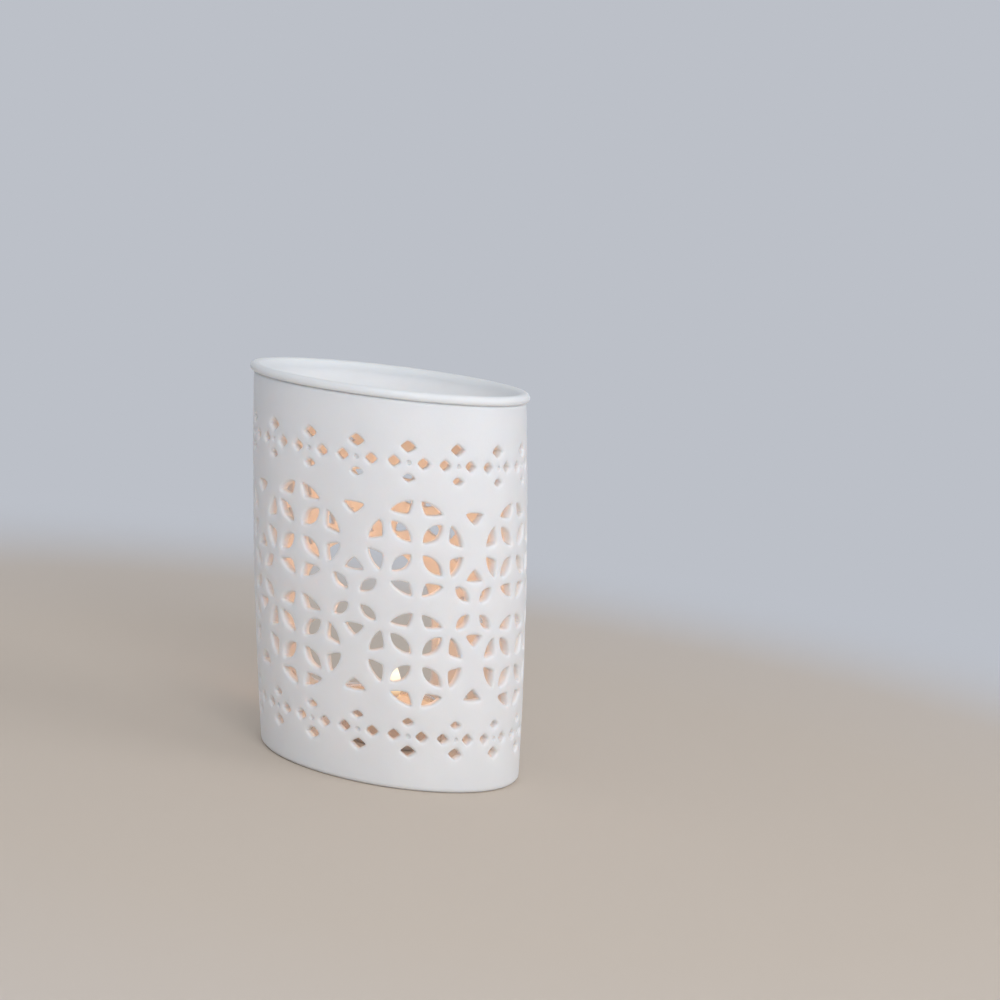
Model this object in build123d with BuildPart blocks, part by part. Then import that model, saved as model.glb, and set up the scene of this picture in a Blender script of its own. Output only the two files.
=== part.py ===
from build123d import *
from math import cos, hypot, radians, sin
import os

# Essential oil burner: a pierced ceramic cylinder with a loose oil dish on top
# and a tealight inside. Millimetres. The base stands on Z = 0 round the Z axis,
# a column of rosettes faces -Y and the opening for the tealight faces +Y.

# Ceramic body
body_height = 134.0
belly_radius = 46.8
foot_inset = 1.6
foot_taper_top = 28.0
mouth_inset = 0.6
mouth_taper_height = 11.5
wall = 3.4
floor_top = 7.0
floor_bevel = 3.0
foot_ring_width = 7.2
foot_recess_depth = 2.5
foot_bevel = 1.3
mouth_bevel = 1.0

# Opening at the back, where the tealight goes in
opening_width = 47.0
opening_top = 71.5
sill_height = 16.0
opening_corner = 8.0
opening_margin = 2.5

# Rosettes: four petals and eight fins in a circle, in two rows
pattern_height = 65.5
rosette_columns = 7
row_offset = 19.2
petal_start = 2.9
petal_end = 12.2
petal_width = 4.2
petal_chords = 3
petal_turns = (45, 135, 225, 315)
rosette_radius = 16.2
fin_inner_radius = 11.9
fin_side_radius = 15.0
fin_bow = 0.7
fin_chords = 2
fin_top_angle = 84.3
fin_inner_angle = 75.4
fin_side_angle = 54.0
fin_turns = (0, 90, 180, 270)

# Small columns between the rosettes: a star, and triangles above and below it
star_start = 3.1
star_end = 10.3
star_width = 3.4
spade_offset = 9.6
spade_width = 6.5
spade_height = 3.9
moon_offset = 32.0
moon_width = 7.2
moon_height = 3.6

# Bands of diamonds in fours, above and below the rosettes
band_columns = 17
band_shift = -2.75
upper_band_height = 113.4
lower_band_height = 19.4
outer_diamond_offset = 5.3
outer_diamond_width = 5.3
outer_diamond_height = 4.2
inner_diamond_offset = 5.0
inner_diamond_width = 4.2
inner_diamond_height = 2.9
side_diamond_offset = 4.9
side_diamond_width = 4.2
side_diamond_height = 3.9

# Oil dish, which rests on the mouth by its lip
lip_overhang = 1.2
lip_thickness = 3.1
lip_bulge = 1.0
lip_width = 3.0
bowl_depth = 14.0
bowl_side_run = 30.4
dish_wall = 3.0
bowl_chords = 4
underside_chords = 2
lip_chords = 4
dish_fit = 0.6
spigot_drop = 2.2

# Tealight: cup, wax, wick and the disc and collar that hold the wick
cup_radius = 19.0
cup_height = 15.0
cup_sheet = 0.3
cup_bevel = 1.0
bead_width = 0.5
bead_height = 0.9
wax_below_rim = 2.6
wax_gap = 0.05
wick_radius = 0.65
wick_stand = 4.5
wick_bend_radius = 4.0
wick_bend_angle = 40.0
sustainer_radius = 6.0
sustainer_sheet = 0.3
collar_height = 3.0
collar_wall = 0.3

# How far a cut runs past the material that it removes
overrun = 3.0


# The side of the body is upright along its belly and drawn in a little at foot and mouth
foot_radius = belly_radius - foot_inset
foot_recess_radius = foot_radius - foot_ring_width
mouth_radius = belly_radius - mouth_inset
mouth_taper_bottom = body_height - mouth_taper_height
side_points = [
    (foot_radius, 0),
    (belly_radius, foot_taper_top),
    (belly_radius, mouth_taper_bottom),
    (mouth_radius, body_height),
]
floor_edge_radius = foot_radius - wall + foot_inset * floor_top / foot_taper_top
cavity_points = [
    (floor_edge_radius, floor_top),
    (belly_radius - wall, foot_taper_top),
    (belly_radius - wall, mouth_taper_bottom),
    (mouth_radius - wall, body_height),
]
opening_half = opening_width / 2
spring_height = opening_top - opening_half


def chords(arc, count):
    """Points that split an arc into equal chords, both ends included."""
    return [arc @ (step / count) for step in range(count + 1)]


def bowed(start, end, bow, count):
    """Points of an edge that bows to its right, without its last point."""
    outward = (end - start).rotate(Axis.Z, -90).normalized() * bow
    steps = [step / count for step in range(count)]
    return [start + (end - start) * step + outward * (4 * step * (1 - step)) for step in steps]


def petal(start, end, width, turn):
    """Pointed oval on a line through the motif's centre."""
    inner_tip = Vector(start, 0).rotate(Axis.Z, turn)
    outer_tip = Vector(end, 0).rotate(Axis.Z, turn)
    near_side = bowed(inner_tip, outer_tip, width / 2, petal_chords)
    return near_side + bowed(outer_tip, inner_tip, width / 2, petal_chords)


def fin(turn):
    """Curved triangle at the rosette's rim, just right of its top before the turn."""
    top = Vector(rosette_radius, 0).rotate(Axis.Z, fin_top_angle + turn)
    inner = Vector(fin_inner_radius, 0).rotate(Axis.Z, fin_inner_angle + turn)
    side = Vector(fin_side_radius, 0).rotate(Axis.Z, fin_side_angle + turn)
    return [top, inner] + bowed(side, top, fin_bow, fin_chords)


def triangle(base, tip, width):
    """Triangle with a level base and a tip above or below it."""
    return [Vector(-width / 2, base), Vector(width / 2, base), Vector(0, tip)]


def diamond(up, width, height):
    """Diamond on the motif's upright centre line."""
    right, top = Vector(width / 2, 0), Vector(0, height / 2)
    return [Vector(0, up) + corner for corner in (right, top, -right, -top)]


def mirrored(outline):
    """The same outline on the other side of the motif's upright centre line."""
    return [Vector(-corner.X, corner.Y) for corner in reversed(outline)]


def cutters(outlines):
    """A prism for each outline, square to the wall at the outline's own middle."""
    prisms = []
    start_radius = foot_radius - wall - overrun
    for outline in outlines:
        middle = sum(corner.X for corner in outline) / len(outline)
        turn = middle / belly_radius
        wall_plane = Plane(
            origin=(start_radius * sin(turn), -start_radius * cos(turn), 0),
            x_dir=(cos(turn), sin(turn), 0),
            z_dir=(sin(turn), -cos(turn), 0),
        )
        with BuildPart() as prism:
            with BuildSketch(wall_plane):
                with BuildLine():
                    # As Bezier curves, straight sides meet the round wall in plain edges
                    corners = [corner - Vector(middle, 0) for corner in outline]
                    for start, end in zip(corners, corners[1:] + corners[:1]):
                        Bezier(start, end)
                make_face()
            extrude(amount=belly_radius + overrun - start_radius)
        prisms.append(prism.part)
    return prisms


def clear_of_opening(outlines, turn, height):
    """Whether enough wall stays between a motif and the opening at the back."""
    for corner in sum(outlines, []):
        angle = radians(turn) + corner.X / belly_radius
        across, up = abs(belly_radius * sin(angle)), height + corner.Y
        if up > spring_height:
            gap = hypot(across, up - spring_height) - opening_half
        else:
            gap = hypot(max(across - opening_half, 0), max(sill_height - up, 0))
        if cos(angle) < 0 and gap < opening_margin:
            return False
    return True


# The motifs, each round its own centre
petals = [petal(petal_start, petal_end, petal_width, turn) for turn in petal_turns]
fins = [fin(turn) for turn in fin_turns]
rosette = petals + fins + [mirrored(outline) for outline in fins]
star = [petal(star_start, star_end, star_width, turn) for turn in petal_turns]
upper_spade = [triangle(spade_offset, spade_offset + spade_height, spade_width)]
lower_spade = [triangle(-spade_offset, -spade_offset - spade_height, spade_width)]
upper_moon = [triangle(moon_offset, moon_offset - moon_height, moon_width)]
lower_moon = [triangle(-moon_offset, -moon_offset + moon_height, moon_width)]
side_diamond = [diamond(0, side_diamond_width, side_diamond_height)]
upper_stack = [
    diamond(outer_diamond_offset, outer_diamond_width, outer_diamond_height),
    diamond(-inner_diamond_offset, inner_diamond_width, inner_diamond_height),
]
lower_stack = [
    diamond(-outer_diamond_offset, outer_diamond_width, outer_diamond_height),
    diamond(inner_diamond_offset, inner_diamond_width, inner_diamond_height),
]

# Where each motif goes: its turns round the wall and its height
column_turn = 360 / rosette_columns
rosette_turns = [column * column_turn for column in range(rosette_columns)]
star_turns = [turn + column_turn / 2 for turn in rosette_turns]
stack_turns = [
    band_shift / radians(belly_radius) + column * 360 / band_columns
    for column in range(band_columns)
]
side_turn = side_diamond_offset / radians(belly_radius)
side_turns = [turn + side for turn in stack_turns for side in (-side_turn, side_turn)]
layout = (
    (rosette, rosette_turns, pattern_height + row_offset),
    (rosette, rosette_turns, pattern_height - row_offset),
    (star, star_turns, pattern_height),
    (upper_spade, star_turns, pattern_height),
    (lower_spade, star_turns, pattern_height),
    (upper_moon, star_turns, pattern_height),
    (lower_moon, star_turns, pattern_height),
    (upper_stack, stack_turns, upper_band_height),
    (lower_stack, stack_turns, lower_band_height),
    (side_diamond, side_turns, upper_band_height),
    (side_diamond, side_turns, lower_band_height),
)
cut_outs = []
for outlines, turns, height in layout:
    prisms = cutters(outlines)
    for turn in turns:
        if clear_of_opening(outlines, turn, height):
            place = Location((0, 0, height), (0, 0, turn))
            cut_outs += [place * prism for prism in prisms]

# Body: its half section turned, then opened at the back and pierced all round
with BuildPart() as burner_body:
    with BuildSketch(Plane.XZ):
        with BuildLine():
            Polyline(
                *side_points,
                *reversed(cavity_points),
                (0, floor_top),
                (0, foot_recess_depth),
                (foot_recess_radius, foot_recess_depth),
                (foot_recess_radius, 0),
                close=True,
            )
        make_face()
        chamfer(vertices().group_by(Axis.Y)[-1].sort_by(Axis.X)[-1], mouth_bevel)
        chamfer(vertices().group_by(Axis.Y)[0].sort_by(Axis.X)[-1], foot_bevel)
        floor_corners = vertices().filter_by_position(Axis.Y, floor_top, floor_top)
        chamfer(floor_corners.sort_by(Axis.X)[-1], floor_bevel)
    revolve()
    with BuildSketch(Plane(origin=(0, 0, 0), x_dir=(-1, 0, 0), z_dir=(0, 1, 0))):
        with Locations((0, sill_height)):
            Rectangle(opening_width, spring_height - sill_height, align=(Align.CENTER, Align.MIN))
        fillet(vertices().group_by(Axis.Y)[0], opening_corner)
        with Locations((0, spring_height)):
            Circle(opening_half)
    extrude(amount=belly_radius + overrun, mode=Mode.SUBTRACT)
    add(cut_outs, mode=Mode.SUBTRACT)
burner_body.part.label = "burner_body"

# Oil dish: a shallow bowl whose lip lies on the mouth and whose spigot centres it
lip_top = body_height + lip_thickness
lip_radius = mouth_radius + lip_overhang
lip_edge = lip_radius - lip_bulge
bowl_radius = lip_radius - lip_width
bowl_floor_radius = bowl_radius - bowl_side_run
bowl_bottom = lip_top - bowl_depth
dish_bottom = bowl_bottom - dish_wall
spigot_radius = mouth_radius - wall - dish_fit
spigot_bottom = body_height - spigot_drop
with BuildPart() as oil_dish:
    with BuildSketch(Plane.XZ):
        with BuildLine():
            bowl = TangentArc(
                (bowl_floor_radius, bowl_bottom),
                (bowl_radius, lip_top),
                tangent=(1, 0),
                mode=Mode.PRIVATE,
            )
            lip = ThreePointArc(
                (lip_edge, lip_top),
                (lip_radius, body_height + lip_thickness / 2),
                (lip_edge, body_height),
                mode=Mode.PRIVATE,
            )
            underside = TangentArc(
                (bowl_floor_radius, dish_bottom),
                (spigot_radius, spigot_bottom),
                tangent=(1, 0),
                mode=Mode.PRIVATE,
            )
            Polyline(
                (0, bowl_bottom),
                *chords(bowl, bowl_chords),
                *chords(lip, lip_chords),
                (spigot_radius, body_height),
                *reversed(chords(underside, underside_chords)),
                (0, dish_bottom),
                close=True,
            )
        make_face()
    revolve()
oil_dish.part.label = "oil_dish"

# Tealight cup: thin foil with a bevelled foot and a bead round its rim
cup_wall_radius = cup_radius - bead_width
cup_top = floor_top + cup_height
with BuildPart() as tealight_cup:
    with BuildSketch(Plane.XZ):
        with BuildLine():
            Polyline(
                (0, floor_top),
                (cup_wall_radius - cup_bevel, floor_top),
                (cup_wall_radius, floor_top + cup_bevel),
                (cup_wall_radius, cup_top - bead_height),
                (cup_radius, cup_top - bead_height),
                (cup_radius, cup_top),
                (cup_wall_radius - cup_sheet, cup_top),
                (cup_wall_radius - cup_sheet, floor_top + cup_bevel),
                (cup_wall_radius - cup_bevel, floor_top + cup_sheet),
                (0, floor_top + cup_sheet),
                close=True,
            )
        make_face()
    revolve()
tealight_cup.part.label = "tealight_cup"

# Wick and its holder, which stand on the cup's floor
cup_floor = floor_top + cup_sheet
wax_top = cup_top - wax_below_rim
disc_top = cup_floor + sustainer_sheet
collar_radius = wick_radius + collar_wall
with BuildPart() as wick_sustainer:
    with BuildSketch(Plane.XY.offset(cup_floor)):
        Circle(sustainer_radius)
    extrude(amount=sustainer_sheet)
    with BuildSketch(Plane.XY.offset(disc_top)):
        Circle(collar_radius)
        Circle(wick_radius, mode=Mode.SUBTRACT)
    extrude(amount=collar_height)
wick_sustainer.part.label = "wick_sustainer"

with BuildPart() as tealight_wick:
    with BuildLine(Plane.XZ):
        stem = Line((0, disc_top), (0, wax_top + wick_stand / 2))
        JernArc(stem @ 1, stem % 1, wick_bend_radius, -wick_bend_angle)
    with BuildSketch(Plane.XY.offset(disc_top)):
        Circle(wick_radius)
    sweep()
tealight_wick.part.label = "tealight_wick"

# Wax: fills the cup round the wick and its holder
with BuildPart() as tealight_wax:
    wax_radius = cup_wall_radius - cup_sheet - wax_gap
    with BuildSketch(Plane.XY.offset(cup_floor)):
        Circle(wax_radius)
    extrude(amount=wax_top - cup_floor)
    chamfer(edges().group_by(Axis.Z)[0], cup_bevel)
    with BuildSketch(Plane.XY.offset(cup_floor)):
        Circle(sustainer_radius)
    extrude(amount=sustainer_sheet, mode=Mode.SUBTRACT)
    with BuildSketch(Plane.XY.offset(disc_top)):
        Circle(collar_radius)
    extrude(amount=collar_height, mode=Mode.SUBTRACT)
    with BuildSketch(Plane.XY.offset(disc_top)):
        Circle(wick_radius)
    extrude(amount=wax_top - disc_top, mode=Mode.SUBTRACT)
tealight_wax.part.label = "tealight_wax"

os.makedirs("parts", exist_ok=True)
for piece in (burner_body, oil_dish, tealight_cup, tealight_wax, tealight_wick, wick_sustainer):
    export_step(piece.part, f"parts/{piece.part.label}.step")
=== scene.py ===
import math

import bpy
import numpy as np
from mathutils import Matrix, Vector, noise
from mathutils.geometry import delaunay_2d_cdt


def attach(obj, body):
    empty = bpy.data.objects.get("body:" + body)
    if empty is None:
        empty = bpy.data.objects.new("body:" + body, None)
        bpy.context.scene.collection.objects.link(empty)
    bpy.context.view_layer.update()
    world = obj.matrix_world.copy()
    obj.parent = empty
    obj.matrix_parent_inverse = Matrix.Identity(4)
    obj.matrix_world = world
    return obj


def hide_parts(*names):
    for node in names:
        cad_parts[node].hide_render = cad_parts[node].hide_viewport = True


# Essential oil burner: a pierced white body, a loose oil dish and a burning tealight.
# Shapes are worked out in millimetres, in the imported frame, and become metres in mesh_object.
# Materials, lights and the camera are in metres.

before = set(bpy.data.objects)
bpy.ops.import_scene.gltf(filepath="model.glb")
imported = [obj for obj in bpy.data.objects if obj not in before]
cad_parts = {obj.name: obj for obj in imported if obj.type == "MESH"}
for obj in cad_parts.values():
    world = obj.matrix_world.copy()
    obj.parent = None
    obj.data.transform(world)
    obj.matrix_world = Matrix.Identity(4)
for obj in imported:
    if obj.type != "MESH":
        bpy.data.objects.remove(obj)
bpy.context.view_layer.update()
MM = 0.001

# The pattern is laid out on a cylinder of LAYOUT_RADIUS, and ROUND is once round it.
# Nothing on the ware stands past LARGEST_RADIUS.
LAYOUT_RADIUS = 47.0
ROUND = 2 * math.pi * LAYOUT_RADIUS
RIM_STEPS = 240
LARGEST_RADIUS = 47.38

# Body: its side is an arc through the radii at the foot, the belly and the mouth
BODY_HEIGHT = 134.0
FOOT_RADIUS = 45.2
BELLY_RADIUS = 47.0
BELLY_HEIGHT = 69.0
MOUTH_RADIUS = 46.2
WALL = 3.4
FLOOR_TOP = 7.0
FLOOR_ROUNDING = 3.0
FOOT_ROUNDING = 1.6
RECESS_RADIUS = 38.0
RECESS_TOP = 2.5
RECESS_EDGE = 1.0
RECESS_CORNER = 0.8
MOUTH_ROUNDING = 1.3
MOUTH_INNER_ROUNDING = 0.5

# Opening at the back, an arch over a sill
OPENING_HALF = 23.5
OPENING_TOP = 71.5
OPENING_SPRING = OPENING_TOP - OPENING_HALF
SILL_HEIGHT = 16.0
OPENING_CORNER = 8.0
OPENING_MARGIN = 2.5
OPENING_SPACING = 1.2

# Pattern: rosettes in two rows, stars and triangles between them, and two bands of diamonds
PATTERN_HEIGHT = 65.5
ROW_OFFSET = 19.2
ROSETTE_COLUMNS = 7
BAND_COLUMNS = 17
BAND_SHIFT = -2.75
UPPER_BAND = 113.4
LOWER_BAND = 19.4

# Petals of rosette and star: where they start and end, and their width
ROSETTE_PETAL = (2.9, 12.2, 4.2)
STAR_PETAL = (3.1, 10.3, 3.4)
PETAL_TURNS = (45, 135, 225, 315)

# Fins of the rosette: their corners as radius and degrees, and how far their sides bow out
FIN_CORNERS = ((16.2, 84.3), (11.9, 75.4), (15.0, 54.0))
FIN_BOWS = (0.15, 0.3, 0.85)
FIN_TURNS = (0, 90, 180, 270)

# Triangles above and below a star: the heights of base and tip, and the width
SPADE_BASE, SPADE_TIP, SPADE_WIDTH = 9.6, 13.5, 6.5
MOON_BASE, MOON_TIP, MOON_WIDTH = 32.0, 28.4, 7.2
TRIANGLE_BOWS = (0.4, 0.25, 0.25)

# Diamonds of a band, in fours round a blind dot: their offset, width and height
OUTER_OFFSET, OUTER_WIDTH, OUTER_HEIGHT = 5.3, 5.3, 4.2
INNER_OFFSET, INNER_WIDTH, INNER_HEIGHT = 5.0, 4.2, 2.9
SIDE_OFFSET, SIDE_WIDTH, SIDE_HEIGHT = 4.9, 4.2, 3.9
DIAMOND_BOWS = (0.12, 0.12, 0.12, 0.12)

# Blind dots: their rows are given as a share of the radius and a depth
DOT_RADIUS = 0.8
DOT_STEPS = 12
DOT_EDGE = 0.3
DOT_ROWS = ((0.9, 0.7), (0.6, 1.0), (0.25, 1.1))
DOT_DEPTH = 1.12

# Softened edges of the cut-outs, outside and inside, and the steps of their rounding
OUTER_EDGE, INNER_EDGE = 0.95, 0.4
OUTER_STEPS = (0, math.pi / 6, math.pi / 3, math.pi / 2)
INNER_STEPS = (math.pi / 2, math.pi / 4, 0)

# How much cutting by hand varies the motifs: degrees, share of size, and millimetres
HAND_TURN = 1.1
HAND_SCALE = 0.018
HAND_SHIFT = 0.07
DOT_SHIFT = 0.1
HAND_SEED = 11

# Triangles of the walls: where they end below and above, and their size
OUTER_LOW, OUTER_HIGH, OUTER_SPACING = 2.0, 132.4, 1.7
INNER_LOW, INNER_HIGH, INNER_SPACING = 10.2, 133.4, 2.3

# As shares of that size: the height of a row, how far a point strays, and the least
# distance to a cut-out. OVERLAP is how far the unrolled wall runs on at both ends.
ROW_SHARE = 0.87
STRAY = 0.12
STRAY_SEED = 5
CLEARANCE = 0.55
OVERLAP = 22.0

# Unevenness of the ware: the length of its slow and fine waves, and how far they move the
# body and the dish. Nothing moves within STILL_RADIUS of the axis.
SLOW_LENGTH, FINE_LENGTH = 26, 6
FINE_START = Vector((9, 4, 2))
BODY_WAVES = (0.16, 0.035)
DISH_WAVES = (0.12, 0.02)
STILL_RADIUS = 30

# Oil dish: a bowl that rises in an arc from a flat middle, and its underside
BOWL_FLOOR, DISH_BOTTOM = 123.1, 120.1
FLAT_RADIUS = 14
BOWL_RUN, BOWL_RISE = 30.4, 14.0
BOWL_END = math.radians(45.5)
SPIGOT_RADIUS, SPIGOT_FOOT = 42.2, 41.3
UNDERSIDE_RISE = 11.7

# Foil cup: its pleats, the heights between which they stand, how they fade out there, and
# the radius within which there are none
PLEATS, PLEAT_DEPTH = 56, 0.2
PLEATS_LOW, PLEATS_HIGH = 8.6, 20.9
PLEATS_FADE_LOW, PLEATS_FADE_HIGH = 2, 1.5
PLEATS_RADIUS = 17.5

# Wick: a stem, a bend at its top, and the plait
WICK_BOTTOM, STEM_TOP = 8.0, 21.65
BEND_RADIUS, BEND_ANGLE = 4.0, math.radians(40)
WICK_RADIUS, WICK_SIDES = 0.62, 18
WICK_TIP = (0.92, 0.75, 0.45)
PLAIT_DEPTH, PLAIT_TURN, STRANDS = 0.09, 0.85, 3

# Flame: its size, the powers and the taper that give the drop its outline, and its lean
FLAME_BASE, FLAME_HEIGHT, FLAME_WIDTH = 21.6, 16.0, 3.9
FLAME_BELLY, FLAME_FULLNESS, FLAME_TAPER = 0.62, 0.85, 0.32
FLAME_OFFSET, FLAME_LEAN, FLAME_CURL = 0.6, 1.6, 0.9
FLAME_FLATTENING = 0.9
THINNEST_FLAME = 0.02

# Stage: its flat floor, the arc at the floor's edge, and the top of the backdrop
STAGE_RADIUS, STAGE_SWEEP, STAGE_TOP = 1900.0, 600.0, 1900.0


def arc_through(low, middle, high):
    """Centre and radius of the circle through three points of a profile."""
    (x1, y1), (x2, y2), (x3, y3) = low, middle, high
    s1, s2, s3 = x1 * x1 + y1 * y1, x2 * x2 + y2 * y2, x3 * x3 + y3 * y3
    double_area = (x1 * (y2 - y3) + x2 * (y3 - y1) + x3 * (y1 - y2)) * 2
    across = (s1 * (y2 - y3) + s2 * (y3 - y1) + s3 * (y1 - y2)) / double_area
    up = (s1 * (x3 - x2) + s2 * (x1 - x3) + s3 * (x2 - x1)) / double_area
    return across, up, math.hypot(x1 - across, y1 - up)


SIDE = arc_through((FOOT_RADIUS, 0), (BELLY_RADIUS, BELLY_HEIGHT), (MOUTH_RADIUS, BODY_HEIGHT))


def outer_radius(height):
    return SIDE[0] + np.sqrt(SIDE[2] ** 2 - (np.asarray(height, float) - SIDE[1]) ** 2)


def inner_radius(height):
    return outer_radius(height) - WALL


# Outlines of the motifs, as points across and up

def polar(radius, degrees):
    return np.array([radius * math.cos(math.radians(degrees)), radius * math.sin(math.radians(degrees))])


def run(start, end, bow, spacing=0.75):
    """Points from start up to but not at end, bowing to the right of the way."""
    start, end = np.asarray(start, float), np.asarray(end, float)
    way = end - start
    length = math.hypot(*way)
    count = max(3, round(length / spacing))
    share = np.arange(count)[:, None] / count
    right = np.array([way[1], -way[0]]) / length
    return start + way * share + right * bow * 4 * share * (1 - share)


def outline(corners, bows):
    """Closed outline, counter-clockwise, with its corners a little rounded."""
    runs = [run(corners[k], corners[(k + 1) % len(corners)], bows[k]) for k in range(len(corners))]
    points = np.vstack(runs)
    x, y = points.T
    if np.sum(x * np.roll(y, -1) - y * np.roll(x, -1)) < 0:
        points = points[::-1]

    # Each point becomes the mean of itself, counted five times, and its two neighbours
    return (np.roll(points, 1, 0) + 5 * points + np.roll(points, -1, 0)) / 7


def petals(start, end, width):
    return [
        outline([polar(start, turn), polar(end, turn)], [width / 2, width / 2])
        for turn in PETAL_TURNS
    ]


def fin(turn):
    return outline([polar(radius, degrees + turn) for radius, degrees in FIN_CORNERS], FIN_BOWS)


def mirrored(points):
    return (points * [-1, 1])[::-1]


def triangle(base, tip, width):
    half = width / 2 if tip > base else -width / 2
    return outline([(-half, base), (half, base), (0, tip)], TRIANGLE_BOWS)


def diamond(up, width, height):
    corners = [(width / 2, up), (0, up + height / 2), (-width / 2, up), (0, up - height / 2)]
    return outline(corners, DIAMOND_BOWS)


def stack(side):
    """The diamonds above and below a dot; side is 1 in the upper band and -1 in the lower."""
    outer = diamond(side * OUTER_OFFSET, OUTER_WIDTH, OUTER_HEIGHT)
    inner = diamond(-side * INNER_OFFSET, INNER_WIDTH, INNER_HEIGHT)
    return [outer, inner]


def clear_of_opening(outlines, turn, height):
    """Whether enough wall stays between a motif and the opening at the back."""
    for points in outlines:
        angle = math.radians(turn) + points[:, 0] / LAYOUT_RADIUS
        across, up = np.abs(LAYOUT_RADIUS * np.sin(angle)), height + points[:, 1]
        above = np.hypot(across, up - OPENING_SPRING) - OPENING_HALF
        below = np.hypot(np.maximum(across - OPENING_HALF, 0), np.maximum(SILL_HEIGHT - up, 0))
        gap = np.where(up > OPENING_SPRING, above, below)
        if np.any((np.cos(angle) < 0) & (gap < OPENING_MARGIN)):
            return False
    return True


# Layout: each motif with the directions it faces, in degrees, and its height
fins = [fin(turn) for turn in FIN_TURNS]
rosette = petals(*ROSETTE_PETAL) + fins + [mirrored(points) for points in fins]
column_turn = 360 / ROSETTE_COLUMNS
rosette_turns = [k * column_turn for k in range(ROSETTE_COLUMNS)]
star_turns = [turn + column_turn / 2 for turn in rosette_turns]
stack_turns = [
    math.degrees(BAND_SHIFT / LAYOUT_RADIUS) + k * 360 / BAND_COLUMNS for k in range(BAND_COLUMNS)
]
side_turn = math.degrees(SIDE_OFFSET / LAYOUT_RADIUS)
side_turns = [turn + side for turn in stack_turns for side in (-side_turn, side_turn)]
side_diamond = [diamond(0, SIDE_WIDTH, SIDE_HEIGHT)]
layout = [
    (rosette, rosette_turns, PATTERN_HEIGHT + ROW_OFFSET),
    (rosette, rosette_turns, PATTERN_HEIGHT - ROW_OFFSET),
    (petals(*STAR_PETAL), star_turns, PATTERN_HEIGHT),
    ([triangle(SPADE_BASE, SPADE_TIP, SPADE_WIDTH)], star_turns, PATTERN_HEIGHT),
    ([triangle(-SPADE_BASE, -SPADE_TIP, SPADE_WIDTH)], star_turns, PATTERN_HEIGHT),
    ([triangle(MOON_BASE, MOON_TIP, MOON_WIDTH)], star_turns, PATTERN_HEIGHT),
    ([triangle(-MOON_BASE, -MOON_TIP, MOON_WIDTH)], star_turns, PATTERN_HEIGHT),
    (stack(1), stack_turns, UPPER_BAND),
    (stack(-1), stack_turns, LOWER_BAND),
    (side_diamond, side_turns, UPPER_BAND),
    (side_diamond, side_turns, LOWER_BAND),
]

# Every cut-out as (direction it faces, points across and up, whether it goes through).
# Each is turned, scaled and shifted a little at random, as on ware cut by hand.
hand = np.random.default_rng(HAND_SEED)
cut_outs = []
for outlines, turns, height in layout:
    for turn in turns:
        if not clear_of_opening(outlines, turn, height):
            continue
        for points in outlines:
            middle = points.mean(0)
            lean = math.radians(hand.normal(0, HAND_TURN))
            swing = np.array([[math.cos(lean), -math.sin(lean)], [math.sin(lean), math.cos(lean)]])
            cut = (points - middle) @ swing.T * (1.0 + hand.normal(0, HAND_SCALE))
            cut += hand.normal(0, HAND_SHIFT, 2) + [0, middle[1] + height]
            facing = math.radians(turn) + middle[0] / LAYOUT_RADIUS
            cut_outs.append((facing, cut, True))
dot = np.array([polar(DOT_RADIUS, 360 * k / DOT_STEPS) for k in range(DOT_STEPS)])
for height in (UPPER_BAND, LOWER_BAND):
    for turn in stack_turns:
        if clear_of_opening([dot], turn, height):
            cut_outs.append((math.radians(turn), dot + [0, height + hand.normal(0, DOT_SHIFT)], False))

# The opening, counter-clockwise from the right end of its arch
corner_across, corner_up = OPENING_HALF - OPENING_CORNER, SILL_HEIGHT + OPENING_CORNER
bend = np.linspace(0, math.pi / 2, 12)[:, None]
left_bend = OPENING_CORNER * np.hstack([-np.cos(bend), -np.sin(bend)])
right_bend = OPENING_CORNER * np.hstack([np.sin(bend), -np.cos(bend)])
arch = np.vstack([
    [
        (OPENING_HALF * math.cos(a), OPENING_SPRING + OPENING_HALF * math.sin(a))
        for a in np.linspace(0, math.pi, 61)
    ],
    run((-OPENING_HALF, OPENING_SPRING), (-OPENING_HALF, corner_up), 0, OPENING_SPACING)[1:],
    np.array([-corner_across, corner_up]) + left_bend,
    run((-corner_across, SILL_HEIGHT), (corner_across, SILL_HEIGHT), 0, OPENING_SPACING)[1:],
    np.array([corner_across, corner_up]) + right_bend,
    run((OPENING_HALF, corner_up), (OPENING_HALF, OPENING_SPRING), 0, OPENING_SPACING)[1:],
])
cut_outs.append((math.pi, arch, True))


def outward(points):
    """Unit normals of a counter-clockwise outline, in its plane."""
    way = np.roll(points, -1, 0) - np.roll(points, 1, 0)
    normal = np.c_[way[:, 1], -way[:, 0]]
    return normal / np.linalg.norm(normal, axis=1, keepdims=True)


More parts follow.
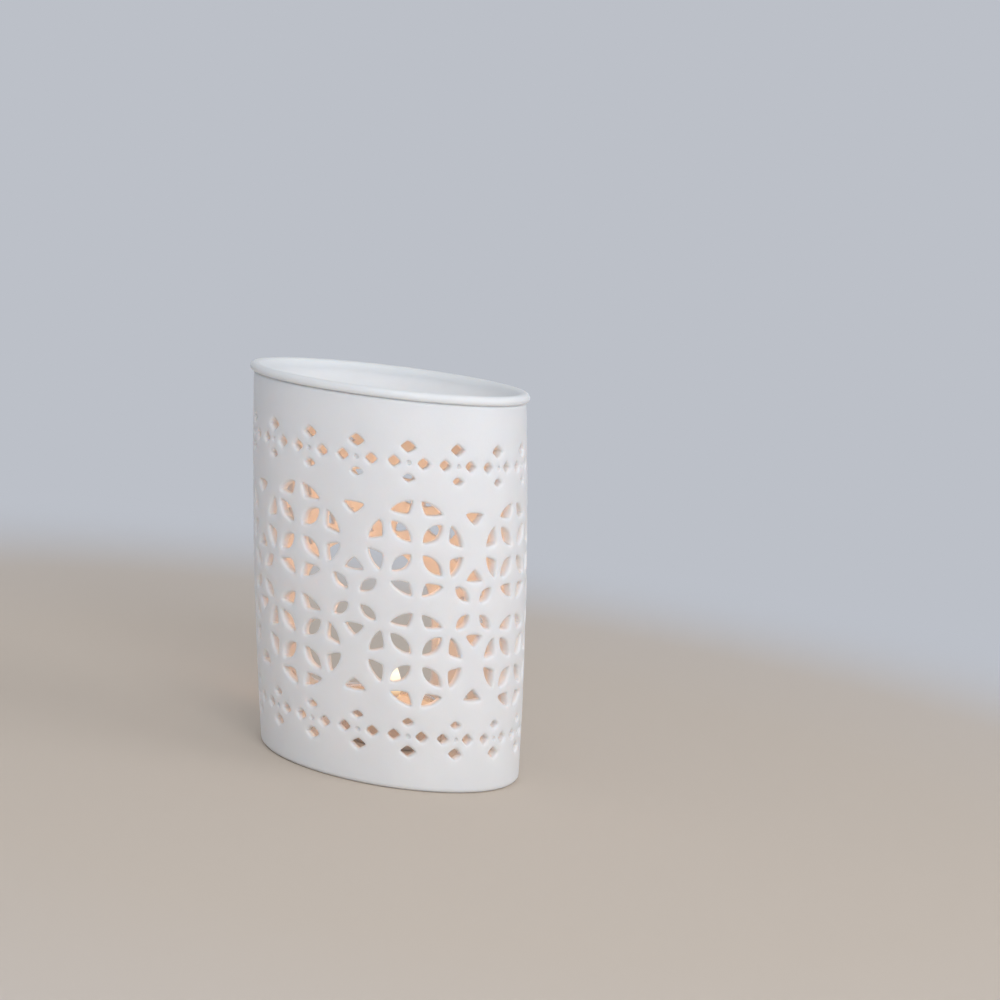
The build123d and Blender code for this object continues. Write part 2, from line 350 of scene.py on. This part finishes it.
class Shell:
    """Collects the body's vertices, in millimetres, and its faces.

    Rings run counter-clockwise seen from above, and every face turns its front to the air.
    """

    def __init__(self):
        self.points, self.faces = [], []

    def add(self, points):
        first = len(self.points)
        self.points.extend(map(tuple, points))
        return np.arange(first, first + len(points))

    def strip(self, one, two):
        """Quads between two closed rows; seen from the front, two is on the left of one's way."""
        following_one, following_two = np.roll(one, -1), np.roll(two, -1)
        self.faces.extend(zip(one.tolist(), following_one.tolist(), following_two.tolist(), two.tolist()))

    def ring(self, radius, height):
        angle = np.arange(RIM_STEPS) * 2 * math.pi / RIM_STEPS
        rows = np.c_[radius * np.sin(angle), -radius * np.cos(angle), np.full(RIM_STEPS, height)]
        return self.add(rows)

    def turned(self, ring, profile, leftward=True):
        """Quads from a ring on through a profile of (radius, height); returns the last ring.

        Leftward says that, seen from the front, each next ring is on the left of the last.
        """
        for radius, height in profile:
            following = self.ring(radius, height)
            if leftward:
                self.strip(ring, following)
            else:
                self.strip(following, ring)
            ring = following
        return ring

    def cap(self, ring, height, upward):
        centre = int(self.add([(0, 0, height)])[0])
        after = np.roll(ring, -1)
        for a, b in zip(ring.tolist(), after.tolist()):
            self.faces.append((a, b, centre) if upward else (b, a, centre))


shell = Shell()


def on_wall(facing, points, radius):
    """Places on the wall, with their angles, of points on a plane that faces one direction."""
    angle = facing + np.arcsin(points[:, 0] / radius)
    return np.c_[radius * np.sin(angle), -radius * np.cos(angle), points[:, 1]], angle


def wall_grid(loops, low, high, spacing):
    """Points of a slightly irregular grid over the unrolled wall, clear of the loops."""
    columns = round(ROUND / spacing)
    rows = round((high - low) / (spacing * ROW_SHARE)) - 1
    jitter = np.random.default_rng(STRAY_SEED)
    across, up = np.meshgrid(np.arange(columns), np.arange(1, rows + 1))
    along = ((across + 0.5 * (up % 2)) * ROUND / columns).ravel()
    height = (low + up * (high - low) / (rows + 1)).ravel()
    along = along + jitter.uniform(-STRAY, STRAY, along.size) * spacing
    height = height + jitter.uniform(-STRAY, STRAY, height.size) * spacing
    keep = np.ones(along.size, bool)
    for loop_along, loop_height, _ in loops:
        normal = outward(np.c_[loop_along, loop_height])
        middle = loop_along.mean()
        near = (along - middle + ROUND / 2) % ROUND + middle - ROUND / 2
        reach = np.ptp(loop_along) / 2 + spacing
        box = (np.abs(near - middle) < reach) & keep
        box &= (height > loop_height.min() - spacing) & (height < loop_height.max() + spacing)
        chosen = np.nonzero(box)[0]
        if chosen.size:
            gaps = (near[chosen, None] - loop_along) * normal[:, 0]
            gaps += (height[chosen, None] - loop_height) * normal[:, 1]
            keep[chosen[gaps.max(1) < CLEARANCE * spacing]] = False
    return along[keep], height[keep]


def wall_faces(loops, low, high, spacing, radius_of, low_ring, high_ring, faces_out):
    """Small triangles over the unrolled wall, with the loops left open."""
    along, height = wall_grid(loops, low, high, spacing)
    radius = radius_of(height)
    angle = along / LAYOUT_RADIUS
    grid_ids = shell.add(np.c_[radius * np.sin(angle), -radius * np.cos(angle), height])

    # The wall runs on past both ends, so that its triangles meet across the seam
    coords, ids, edges, holes = [], [], [], []
    for shift in (-ROUND, 0, ROUND):
        inside = (along + shift > -OVERLAP) & (along + shift < ROUND + OVERLAP)
        coords += list(zip((along[inside] + shift).tolist(), height[inside].tolist()))
        ids += grid_ids[inside].tolist()
        for loop_along, loop_height, loop_ids in loops:
            middle = loop_along.mean() % ROUND
            moved = loop_along - loop_along.mean() + middle + shift
            if moved.max() > -OVERLAP and moved.min() < ROUND + OVERLAP:
                first = len(coords)
                coords += list(zip(moved.tolist(), loop_height.tolist()))
                ids += loop_ids.tolist()
                holes.append(list(range(first, len(coords))))
    extra = int(OVERLAP / (ROUND / RIM_STEPS)) + 1
    for level, ring in ((low, low_ring), (high, high_ring)):
        first = len(coords)
        for k in range(-extra, RIM_STEPS + extra + 1):
            coords.append((k * ROUND / RIM_STEPS, level))
            ids.append(int(ring[k % RIM_STEPS]))
        edges += [(k, k + 1) for k in range(first, len(coords) - 1)]

    # 0 asks for all triangles, 1e-5 is how near two points count as one, and True asks
    # which points and loops each result comes from. Kept are the triangles outside the
    # loops that have their middle within one round.
    found = delaunay_2d_cdt([Vector(c) for c in coords], edges, holes, 0, 1e-5, True)
    spots, _, triangles, sources, _, owners = found
    for corners, owner in zip(triangles, owners):
        if owner or not 0 <= sum(spots[c].x for c in corners) / 3 < ROUND:
            continue
        face = [ids[sources[c][0]] for c in corners]
        shell.faces.append(face if faces_out else face[::-1])


# Rings that the walls' triangles meet
outer_low = shell.ring(outer_radius(OUTER_LOW), OUTER_LOW)
outer_high = shell.ring(outer_radius(OUTER_HIGH), OUTER_HIGH)
inner_low = shell.ring(inner_radius(INNER_LOW), INNER_LOW)
inner_high = shell.ring(inner_radius(INNER_HIGH), INNER_HIGH)

# Cut-outs: rows of points from the outer face over a rounded edge, then through the wall
# to the inner face, or down into a dot
outer_loops, inner_loops = [], []
for facing, points, through in cut_outs:
    normal = outward(points)
    edge = OUTER_EDGE if through else DOT_EDGE
    rows = []
    for a in OUTER_STEPS:
        spread = points + normal * edge * (1 - math.sin(a))
        radius = outer_radius(spread[:, 1]) - edge * (1 - math.cos(a))
        place, angle = on_wall(facing, spread, radius)
        rows.append(shell.add(place))
        if a == 0:
            outer_loops.append((angle * LAYOUT_RADIUS, spread[:, 1], rows[0]))
    if through:
        for a in INNER_STEPS:
            spread = points + normal * INNER_EDGE * (1 - math.sin(a))
            radius = inner_radius(spread[:, 1]) + INNER_EDGE * (1 - math.cos(a))
            place, angle = on_wall(facing, spread, radius)
            rows.append(shell.add(place))
        inner_loops.append((angle * LAYOUT_RADIUS, spread[:, 1], rows[-1]))
    else:
        middle = points.mean(0)
        for share, depth in DOT_ROWS:
            spread = middle + (points - middle) * share
            place, _ = on_wall(facing, spread, outer_radius(spread[:, 1]) - depth)
            rows.append(shell.add(place))
        place, _ = on_wall(facing, middle[None], outer_radius(middle[1:]) - DOT_DEPTH)
        centre = int(shell.add(place)[0])
        last = rows[-1]
        shell.faces.extend((a, b, centre) for a, b in zip(last.tolist(), np.roll(last, -1).tolist()))
    for one, two in zip(rows, rows[1:]):
        shell.strip(one, two)

wall_faces(outer_loops, OUTER_LOW, OUTER_HIGH, OUTER_SPACING, outer_radius, outer_low, outer_high, True)
wall_faces(inner_loops, INNER_LOW, INNER_HIGH, INNER_SPACING, inner_radius, inner_low, inner_high, False)


def rounded(radius, height, size, start, end, steps):
    """Points of a rounded corner round a centre, from one angle to another in degrees."""
    return [
        (radius + size * math.cos(math.radians(a)), height + size * math.sin(math.radians(a)))
        for a in np.linspace(start, end, steps)
    ]


# Foot, underside and its recess, below the outer wall
foot_edge = float(outer_radius(FOOT_ROUNDING)) - FOOT_ROUNDING
profile = rounded(foot_edge, FOOT_ROUNDING, FOOT_ROUNDING, 0, -90, 6)
profile += [(42.3, 0.0), (40.5, 0.0)]
profile += rounded(RECESS_RADIUS + RECESS_EDGE, RECESS_EDGE, RECESS_EDGE, -90, -180, 4)
profile += rounded(RECESS_RADIUS - RECESS_CORNER, RECESS_TOP - RECESS_CORNER, RECESS_CORNER, 0, 90, 4)
profile += [(radius, RECESS_TOP) for radius in (33, 27, 20, 12, 5)]
shell.cap(shell.turned(outer_low, profile, False), RECESS_TOP, False)

# Chamber floor, with a rounded corner at the foot of the inner wall
corner_height = FLOOR_TOP + FLOOR_ROUNDING
floor_edge = float(inner_radius(corner_height)) - FLOOR_ROUNDING
profile = rounded(floor_edge, corner_height, FLOOR_ROUNDING, 0, -90, 7)
profile += [(radius, FLOOR_TOP) for radius in (34, 28, 20, 12, 5)]
shell.cap(shell.turned(inner_low, profile), FLOOR_TOP, True)

# Mouth, rounded outside and inside
mouth_height = BODY_HEIGHT - MOUTH_ROUNDING
mouth_edge = float(outer_radius(mouth_height)) - MOUTH_ROUNDING
inner_edge = float(inner_radius(BODY_HEIGHT)) + MOUTH_INNER_ROUNDING
profile = rounded(mouth_edge, mouth_height, MOUTH_ROUNDING, 12, 90, 6)
profile += rounded(inner_edge, BODY_HEIGHT - MOUTH_INNER_ROUNDING, MOUTH_INNER_ROUNDING, 90, 165, 4)
shell.strip(shell.turned(outer_high, profile), inner_high)


def handmade(points, slow, fine):
    """Moves the points of a wall in or out a little, in slow waves and finer ones."""
    moved = []
    for x, y, z in points:
        radius = math.hypot(x, y)
        if radius > STILL_RADIUS:
            where = Vector((x, y, z))
            slow_push = slow * noise.noise(where / SLOW_LENGTH)
            push = slow_push + fine * noise.noise(where / FINE_LENGTH + FINE_START)
            grown = min(1 + push / radius, LARGEST_RADIUS / radius)
            x, y = x * grown, y * grown
        moved.append((x, y, z))
    return moved


def mesh_object(name, points, faces):
    mesh = bpy.data.meshes.new(name)
    mesh.from_pydata([(x * MM, y * MM, z * MM) for x, y, z in points], [], [tuple(f) for f in faces])
    mesh.validate()
    mesh.shade_smooth()
    piece = bpy.data.objects.new(name, mesh)
    bpy.context.scene.collection.objects.link(piece)
    return piece


def lathe(profile, steps, wave=None, closed=True):
    """Points and faces of a profile of (radius, height) turned about Z.

    The profile starts on the axis, and a closed one ends there. The wave gives what is
    added to the radius at a turn, radius and height.
    """
    points, faces = [(0, 0, profile[0][1])], []
    turns = [2 * math.pi * k / steps for k in range(steps)]
    rings = profile[1:-1] if closed else profile[1:]
    for radius, height in rings:
        for turn in turns:
            r = radius + (wave(turn, radius, height) if wave else 0)
            points.append((r * math.cos(turn), r * math.sin(turn), height))
    if closed:
        points.append((0, 0, profile[-1][1]))
    for k in range(steps):
        after = (k + 1) % steps
        faces.append((0, 1 + k, 1 + after))
        for row in range(len(rings) - 1):
            one, two = 1 + row * steps, 1 + (row + 1) * steps
            faces.append((one + k, two + k, two + after, one + after))
        if closed:
            last = 1 + (len(rings) - 1) * steps
            faces.append((last + after, last + k, len(points) - 1))
    return points, faces


def sweep_radius(run_out, rise):
    """Radius of an arc that starts level and climbs by rise over its run."""
    return (run_out**2 + rise**2) / (2 * rise)


def sweep(start, height, radius, angles):
    """Points of an arc that starts level at a distance from the axis and climbs outward."""
    return [(start + radius * math.sin(a), height + radius * (1 - math.cos(a))) for a in angles]


# Pieces of the burner

body = mesh_object("pierced_body", handmade(shell.points, *BODY_WAVES), shell.faces)

# Oil dish: from the middle of the bowl out over the lip, down to the spigot and back below
bowl_radius = sweep_radius(BOWL_RUN, BOWL_RISE)
profile = [(radius, BOWL_FLOOR) for radius in (0, 4, 8, 12)]
profile += sweep(FLAT_RADIUS, BOWL_FLOOR, bowl_radius, np.linspace(0, BOWL_END, 22))
profile += [(43.35, 136.0), (43.9, 136.5), (44.5, 136.86), (45.2, 137.05), (45.8, 137.1)]
profile += [(46.35, 137.0), (46.85, 136.7), (47.2, 136.2), (47.38, 135.6), (47.34, 135.0)]
profile += [(47.1, 134.5), (46.7, 134.15), (46.2, 134.0), (45.2, 134.0), (43.6, 134.0), (42.5, 134.0)]
profile += [(42.22, 133.8), (42.2, 133.0), (42.15, 132.2), (41.8, 131.7)]
underside_radius = sweep_radius(SPIGOT_RADIUS - FLAT_RADIUS, UNDERSIDE_RISE)
underside_end = math.asin((SPIGOT_FOOT - FLAT_RADIUS) / underside_radius)
profile += sweep(FLAT_RADIUS, DISH_BOTTOM, underside_radius, np.linspace(underside_end, 0, 16))
profile += [(radius, DISH_BOTTOM) for radius in (8, 3, 0)]
dish_points, dish_faces = lathe(profile, RIM_STEPS)
dish = mesh_object("dish", handmade(dish_points, *DISH_WAVES), dish_faces)


def crimp(turn, radius, height):
    """Fine pleats that the foil takes when a cup is pressed."""
    if radius < PLEATS_RADIUS or not PLEATS_LOW < height < PLEATS_HIGH:
        return 0
    fade = min(1, (height - PLEATS_LOW) / PLEATS_FADE_LOW, (PLEATS_HIGH - height) / PLEATS_FADE_HIGH)
    return PLEAT_DEPTH * fade * math.cos(PLEATS * turn)


# Foil cup: from the middle of its floor up the inside, over the rolled rim and down outside
profile = [(0, 7.55), (6, 7.55), (11.5, 7.55), (12.2, 7.75), (13.0, 7.75), (13.7, 7.5), (16.8, 7.4)]
profile += [(17.5, 7.7), (17.9, 8.5), (18.0, 9.5), (18.05, 12), (18.1, 15), (18.15, 18), (18.2, 20.4)]
profile += [(18.22, 21.0), (18.3, 21.6), (18.5, 21.93), (18.75, 22.0), (18.95, 21.8), (19.0, 21.45)]
profile += [(18.92, 21.15), (18.7, 21.0), (18.5, 20.9), (18.48, 20.4), (18.46, 18), (18.42, 15)]
profile += [(18.38, 12), (18.33, 9.5), (18.22, 8.3), (17.75, 7.35), (17.0, 7.0), (14.0, 7.0)]
profile += [(13.2, 7.35), (12.0, 7.35), (11.3, 7.2), (5, 7.2), (0, 7.2)]
cup_points, cup_faces = lathe(profile, steps=256, wave=crimp)
cup = mesh_object("foil_cup", cup_points, cup_faces)

# Wax, melted on top: it climbs a little at the cup and at the wick
profile = [(0, 20.0), (0.75, 19.95), (1.1, 19.7), (1.7, 19.5), (2.8, 19.42), (5, 19.4), (9, 19.4)]
profile += [(13, 19.4), (15.6, 19.42), (16.8, 19.5), (17.5, 19.66), (17.9, 19.95), (18.0, 20.1)]
profile += [(18.0, 19.8), (17.95, 16), (17.9, 12), (17.8, 9.4), (17.4, 8.2), (16.4, 7.8), (8, 7.8), (0, 7.8)]
wax_points, wax_faces = lathe(profile, steps=128)
wax = mesh_object("wax", wax_points, wax_faces)

# Wick: a plaited cord that leans at its tip, along a path of (across, height, lean)
path = [(0.0, z, 0.0) for z in np.linspace(WICK_BOTTOM, STEM_TOP, 34)]
path += [
    (BEND_RADIUS * (1 - math.cos(a)), STEM_TOP + BEND_RADIUS * math.sin(a), a)
    for a in np.linspace(0, BEND_ANGLE, 12)[1:]
]
thinning = [1.0] * (len(path) - len(WICK_TIP)) + list(WICK_TIP)
wick_points, wick_faces = [], []
for row, (x, z, lean) in enumerate(path):
    for k in range(WICK_SIDES):
        turn = 2 * math.pi * k / WICK_SIDES
        one_way, other_way = STRANDS * turn + row * PLAIT_TURN, STRANDS * turn - row * PLAIT_TURN
        plait = 1 + PLAIT_DEPTH * math.cos(one_way) * math.cos(other_way)
        r = WICK_RADIUS * thinning[row] * plait
        wick_points.append((
            x + r * math.cos(turn) * math.cos(lean),
            r * math.sin(turn),
            z - r * math.cos(turn) * math.sin(lean),
        ))
for row in range(len(path) - 1):
    for k in range(WICK_SIDES):
        after = (k + 1) % WICK_SIDES
        low, high = row * WICK_SIDES, (row + 1) * WICK_SIDES
        wick_faces.append((low + k, low + after, high + after, high + k))
wick_faces.append(tuple(range(WICK_SIDES))[::-1])
wick_faces.append(tuple(range((len(path) - 1) * WICK_SIDES, len(path) * WICK_SIDES)))
wick = mesh_object("plaited_wick", wick_points, wick_faces)

# Flame: a drop that starts round the wick and leans with it
profile = [(0, FLAME_BASE + FLAME_HEIGHT)]
for share in np.linspace(0.985, 0.015, 40):
    swell = math.sin(math.pi * share**FLAME_BELLY) ** FLAME_FULLNESS * (1 - FLAME_TAPER * share)
    profile.append((max(FLAME_WIDTH * swell, THINNEST_FLAME), FLAME_BASE + FLAME_HEIGHT * share))
profile.append((0, FLAME_BASE))
flame_points, flame_faces = lathe(profile, steps=48)
leaning = []
for x, y, z in flame_points:
    share = (z - FLAME_BASE) / FLAME_HEIGHT
    across = x + FLAME_OFFSET + FLAME_LEAN * share - FLAME_CURL * share**3
    leaning.append((across, y * FLAME_FLATTENING, z))
flame = mesh_object("flame", leaning, flame_faces)
flame.visible_shadow = False


# Materials

def blank(name):
    material = bpy.data.materials.new(name)
    material.use_nodes = True
    tree = material.node_tree
    return material, tree, tree.nodes["Principled BSDF"]


def dress(piece, material):
    piece.data.materials.clear()
    piece.data.materials.append(material)


def node(tree, kind, **values):
    """A new node, with values for its inputs or, where it has no such input, its settings."""
    made = tree.nodes.new(kind)
    for key, value in values.items():
        if key in made.inputs:
            made.inputs[key].default_value = value
        else:
            setattr(made, key, value)
    return made


def coordinates(tree):
    return node(tree, "ShaderNodeTexCoord").outputs["Object"]


def ramp(tree, source, stops):
    made = tree.nodes.new("ShaderNodeValToRGB")
    elements = made.color_ramp.elements
    while len(elements) < len(stops):
        elements.new(0.5)
    for element, (place, colour) in zip(elements, stops):
        element.position = place
        element.color = (*colour, 1)
    tree.links.new(source, made.inputs["Fac"])
    return made.outputs["Color"]


def mapped(tree, source, low, high, to_low=0.0, to_high=1.0, **values):
    made = node(tree, "ShaderNodeMapRange", **values)
    made.inputs["From Min"].default_value = low
    made.inputs["From Max"].default_value = high
    made.inputs["To Min"].default_value = to_low
    made.inputs["To Max"].default_value = to_high
    tree.links.new(source, made.inputs["Value"])
    return made.outputs["Result"]


# A grain is a noise from 0 to 1, and most of it lies between these
GRAIN_LOW, GRAIN_HIGH = 0.3, 0.7


def grain(tree, where, scale, detail=3.0):
    made = node(tree, "ShaderNodeTexNoise", Scale=scale, Detail=detail, Roughness=0.5)
    tree.links.new(where, made.inputs["Vector"])
    return made.outputs["Fac"]


def mottled(tree, source, dark, light):
    """A colour that goes from dark to light with a grain."""
    return ramp(tree, source, [(GRAIN_LOW, dark), (GRAIN_HIGH, light)])


def between(tree, source, low, high):
    """A number that goes from low to high with a grain."""
    return mapped(tree, source, GRAIN_LOW, GRAIN_HIGH, low, high)


def climb(tree, where, low, high):
    """How far up a place is from one height to another, from 0 to 1."""
    axes = node(tree, "ShaderNodeSeparateXYZ")
    tree.links.new(where, axes.inputs["Vector"])
    return mapped(tree, axes.outputs["Z"], low, high)


def bump(tree, source, distance, strength, below=None):
    made = node(tree, "ShaderNodeBump", Distance=distance, Strength=strength)
    tree.links.new(source, made.inputs["Height"])
    if below is not None:
        tree.links.new(below, made.inputs["Normal"])
    return made.outputs["Normal"]


def ceramic(name, dark, light):
    """White satin glaze: faint clouding, small waves and a fine tooth."""
    material, tree, shader = blank(name)
    where = coordinates(tree)
    clouding = mottled(tree, grain(tree, where, 38, 4), dark, light)
    tree.links.new(clouding, shader.inputs["Base Color"])
    tree.links.new(between(tree, grain(tree, where, 190, 4), 0.4, 0.52), shader.inputs["Roughness"])
    waves = bump(tree, grain(tree, where, 150, 2), 0.0004, 0.22)
    tooth = bump(tree, grain(tree, where, 1500, 3), 0.00008, 0.35, waves)
    tree.links.new(tooth, shader.inputs["Normal"])
    shader.inputs["Specular IOR Level"].default_value = 0.42
    shader.inputs["Subsurface Weight"].default_value = 0.6
    shader.inputs["Subsurface Radius"].default_value = (0.0036, 0.0031, 0.0027)
    shader.inputs["Subsurface Scale"].default_value = 1.0
    return material


dress(body, ceramic("body_glaze_white", (0.782, 0.792, 0.808), (0.816, 0.825, 0.839)))
dress(dish, ceramic("dish_glaze_white", (0.785, 0.794, 0.806), (0.82, 0.828, 0.838)))

# Foil: bright metal with a fine tooth
foil, tree, shader = blank("pressed_foil")
where = coordinates(tree)
shader.inputs["Metallic"].default_value = 1.0
colour = mottled(tree, grain(tree, where, 900), (0.78, 0.78, 0.79), (0.84, 0.84, 0.85))
tree.links.new(colour, shader.inputs["Base Color"])
tree.links.new(between(tree, grain(tree, where, 1400, 4), 0.2, 0.27), shader.inputs["Roughness"])
tree.links.new(bump(tree, grain(tree, where, 1100, 4), 0.00004, 0.3), shader.inputs["Normal"])
dress(cup, foil)

# Wax: warm white, with a wet top that lets light in
melted, tree, shader = blank("melted_wax")
where = coordinates(tree)
colour = mottled(tree, grain(tree, where, 120), (0.80, 0.755, 0.66), (0.86, 0.825, 0.74))
tree.links.new(colour, shader.inputs["Base Color"])
tree.links.new(between(tree, grain(tree, where, 90), 0.1, 0.2), shader.inputs["Roughness"])
tree.links.new(bump(tree, grain(tree, where, 60), 0.0003, 0.15), shader.inputs["Normal"])
shader.inputs["Subsurface Weight"].default_value = 0.3
shader.inputs["Subsurface Radius"].default_value = (0.004, 0.0028, 0.0016)
shader.inputs["Subsurface Scale"].default_value = 1.0
dress(wax, melted)

# Wick: waxed cotton at the foot, charred above, and at the tip a dark red that is painted glow of its ember
charred, tree, shader = blank("charred_cotton")
where = coordinates(tree)
stops = [
    (0.0, (0.55, 0.46, 0.33)),
    (0.25, (0.06, 0.045, 0.035)),
    (0.8, (0.012, 0.01, 0.009)),
    # Painted glow: the dark red at the tip stands in for the ember's light
    (1.0, (0.10, 0.02, 0.006)),
]
tree.links.new(ramp(tree, climb(tree, where, 0.0195, 0.0246), stops), shader.inputs["Base Color"])
shader.inputs["Roughness"].default_value = 0.9
tree.links.new(bump(tree, grain(tree, where, 2600, 4), 0.0001, 0.6), shader.inputs["Normal"])
dress(wick, charred)

# Sustainer: dull metal on the CAD node itself
steel, tree, shader = blank("tinned_steel")
where = coordinates(tree)
shader.inputs["Metallic"].default_value = 1.0
colour = mottled(tree, grain(tree, where, 700), (0.42, 0.42, 0.42), (0.58, 0.58, 0.58))
tree.links.new(colour, shader.inputs["Base Color"])
tree.links.new(between(tree, grain(tree, where, 900), 0.3, 0.5), shader.inputs["Roughness"])
dress(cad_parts["wick_sustainer"], steel)

# Flame: blue at its foot, nearly white above the middle and orange at the tip
glow, tree, shader = blank("flame_glow")
stops = [
    (0.0, (0.10, 0.12, 0.35)),
    (0.12, (0.55, 0.34, 0.2)),
    (0.3, (1.0, 0.78, 0.5)),
    (0.62, (1.0, 0.93, 0.8)),
    (1.0, (1.0, 0.7, 0.36)),
]
burning = climb(tree, coordinates(tree), FLAME_BASE * MM, (FLAME_BASE + FLAME_HEIGHT) * MM)
tree.links.new(ramp(tree, burning, stops), shader.inputs["Emission Color"])
shader.inputs["Emission Strength"].default_value = 1.2
shader.inputs["Base Color"].default_value = (0.02, 0.01, 0.005, 1)
shader.inputs["Roughness"].default_value = 1.0
shader.inputs["Specular IOR Level"].default_value = 0.0
dress(flame, glow)


# What rides on what

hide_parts("burner_body")
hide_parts("oil_dish")
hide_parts("tealight_cup")
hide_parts("tealight_wax")
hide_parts("tealight_wick")
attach(body, "burner")
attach(dish, "dish")
for piece in (cup, wax, wick, flame):
    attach(piece, "tealight")


# Plain pale stage

# A round floor that curves up into a backdrop
profile = [(radius, 0.0) for radius in (0, 40, 200, 700, STAGE_RADIUS)]
profile += sweep(STAGE_RADIUS, 0.0, STAGE_SWEEP, np.linspace(0, math.pi / 2, 16)[1:])
profile.append((STAGE_RADIUS + STAGE_SWEEP, STAGE_TOP))
stage_points, stage_faces = lathe(profile, steps=96, closed=False)
stage = mesh_object("stage", stage_points, stage_faces)

# Its colour goes with the distance from the burner: warm near it and cooler farther off
pale, tree, shader = blank("pale_stage")
distance = node(tree, "ShaderNodeVectorMath", operation="LENGTH")
tree.links.new(coordinates(tree), distance.inputs[0])
away = mapped(tree, distance.outputs["Value"], 0.2, 0.6)
stops = [
    (0.0, (0.65, 0.565, 0.485)),
    (0.3, (0.655, 0.58, 0.515)),
    (0.75, (0.70, 0.705, 0.74)),
    (1.0, (0.86, 0.87, 0.90)),
]
tree.links.new(ramp(tree, away, stops), shader.inputs["Base Color"])
shader.inputs["Roughness"].default_value = 0.85
shader.inputs["Specular IOR Level"].default_value = 0.2

# Far off, the camera and the reflections see one even tone, whatever light falls there
far = mapped(tree, distance.outputs["Value"], 0.3, 0.52, interpolation_type="SMOOTHSTEP")
ray = node(tree, "ShaderNodeLightPath")
seen = node(tree, "ShaderNodeMath", operation="MAXIMUM")
tree.links.new(ray.outputs["Is Camera Ray"], seen.inputs[0])
tree.links.new(ray.outputs["Is Glossy Ray"], seen.inputs[1])
share = node(tree, "ShaderNodeMath", operation="MULTIPLY")
tree.links.new(seen.outputs["Value"], share.inputs[0])
tree.links.new(far, share.inputs[1])
backdrop = node(tree, "ShaderNodeEmission", Color=(0.503, 0.527, 0.578, 1), Strength=1.0)
mix = node(tree, "ShaderNodeMixShader")
tree.links.new(share.outputs["Value"], mix.inputs[0])
tree.links.new(shader.outputs["BSDF"], mix.inputs[1])
tree.links.new(backdrop.outputs["Emission"], mix.inputs[2])
tree.links.new(mix.outputs["Shader"], tree.nodes["Material Output"].inputs["Surface"])
dress(stage, pale)


# Light

BURNER_MIDDLE = Vector((0, 0, 0.07))


def lamp(name, kind, place, energy, colour):
    light = bpy.data.lights.new(name, kind)
    light.energy, light.color = energy, colour
    made = bpy.data.objects.new(name, light)
    bpy.context.scene.collection.objects.link(made)
    made.location = place
    return made


def candle_lamp(name, height, size, energy):
    """A small warm lamp that goes with the flame and isn't seen itself."""
    made = lamp(name, "POINT", (0.001, 0, height), energy, (1.0, 0.54, 0.29))
    made.data.shadow_soft_size = size
    made.visible_camera = False
    made.parent = flame


def studio_lamp(name, place, energy, colour):
    """A soft round lamp, one metre across, that faces the middle of the burner."""
    made = lamp(name, "AREA", place, energy, colour)
    made.data.shape, made.data.size = "DISK", 1.0
    made.rotation_euler = (BURNER_MIDDLE - Vector(place)).to_track_quat("-Z", "Y").to_euler()


# The flame's own light, and the glow of the chamber
candle_lamp("flamelight", 0.044, 0.004, 0.0125)
candle_lamp("chamberlight", 0.085, 0.012, 0.0264)

# Daylight from the front and from the right, and from all round
studio_lamp("window", (0.1, -1.3, 0.68), 7.8, (0.995, 0.995, 0.99))
studio_lamp("side", (1.25, -0.45, 0.55), 4.0, (0.98, 0.985, 1.0))
world = bpy.data.worlds.new("studio")
bpy.context.scene.world = world
world.use_nodes = True
surroundings = world.node_tree.nodes["Background"]
surroundings.inputs["Color"].default_value = (0.93, 0.965, 1.0, 1)
surroundings.inputs["Strength"].default_value = 0.63
bpy.context.scene.view_settings.view_transform = "Standard"


# Camera

# The picture shows the burner a little sheared, so the camera hangs from an empty, and the
# camera's parent inverse holds its place with that shear, turned about Z by CAMERA_TURN.
# The camera's right, up and back are each an azimuth from +X and an elevation, in degrees.
# They aren't square to each other, and that is the shear.
CAMERA_TURN = math.radians(-11.4)
CAMERA_PLACE = (0, -0.84628, 0.21334)
CAMERA_RIGHT = (13.282, 5.534)
CAMERA_UP = (90.001, 76.128)
CAMERA_BACK = (-92.557, 7.715)


def direction(azimuth, elevation):
    azimuth, elevation = math.radians(azimuth), math.radians(elevation)
    level = math.cos(elevation)
    return level * math.cos(azimuth), level * math.sin(azimuth), math.sin(elevation)


lens = bpy.data.cameras.new("camera")
lens.lens, lens.sensor_width, lens.sensor_fit = 87.826, 36.0, "HORIZONTAL"
lens.clip_start, lens.clip_end = 0.02, 30.0
camera = bpy.data.objects.new("camera", lens)
holder = bpy.data.objects.new("camera_holder", None)
for made in (camera, holder):
    bpy.context.scene.collection.objects.link(made)
axes = Matrix((direction(*CAMERA_RIGHT), direction(*CAMERA_UP), direction(*CAMERA_BACK))).transposed()
sheared = Matrix.Translation(CAMERA_PLACE) @ axes.to_4x4()
camera.parent = holder
camera.matrix_parent_inverse = Matrix.Rotation(CAMERA_TURN, 4, "Z") @ sheared
bpy.context.scene.camera = camera
